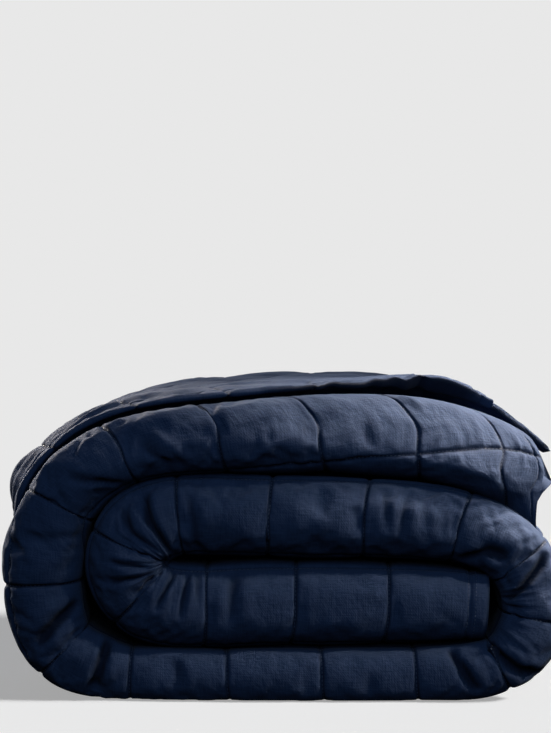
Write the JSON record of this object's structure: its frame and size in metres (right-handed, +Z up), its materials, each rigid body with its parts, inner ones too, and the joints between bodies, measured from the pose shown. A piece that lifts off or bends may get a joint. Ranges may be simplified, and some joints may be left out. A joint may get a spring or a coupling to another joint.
{
  "type": "box quilt, folded and rolled",
  "caption": "Plain box-stitched bed quilt, folded lengthwise and rolled into a low spiral with its front folds showing, for storing or laying at the foot of a bed.",
  "frame": {"origin": "centre of the roll's footprint, on the surface that it rests on", "axes": "+Z up; the rolled folds face -Y; +X is the side where the outer end of the quilt hangs down"},
  "size_m": [0.59, 0.5886, 0.3312],
  "materials": {
    "navy_cloth": "matte washed plain weave, navy, with tone-on-tone stitching"
  },
  "bodies": {
    "root": {"quilt": "navy_cloth"}
  },
  "joints": []
}
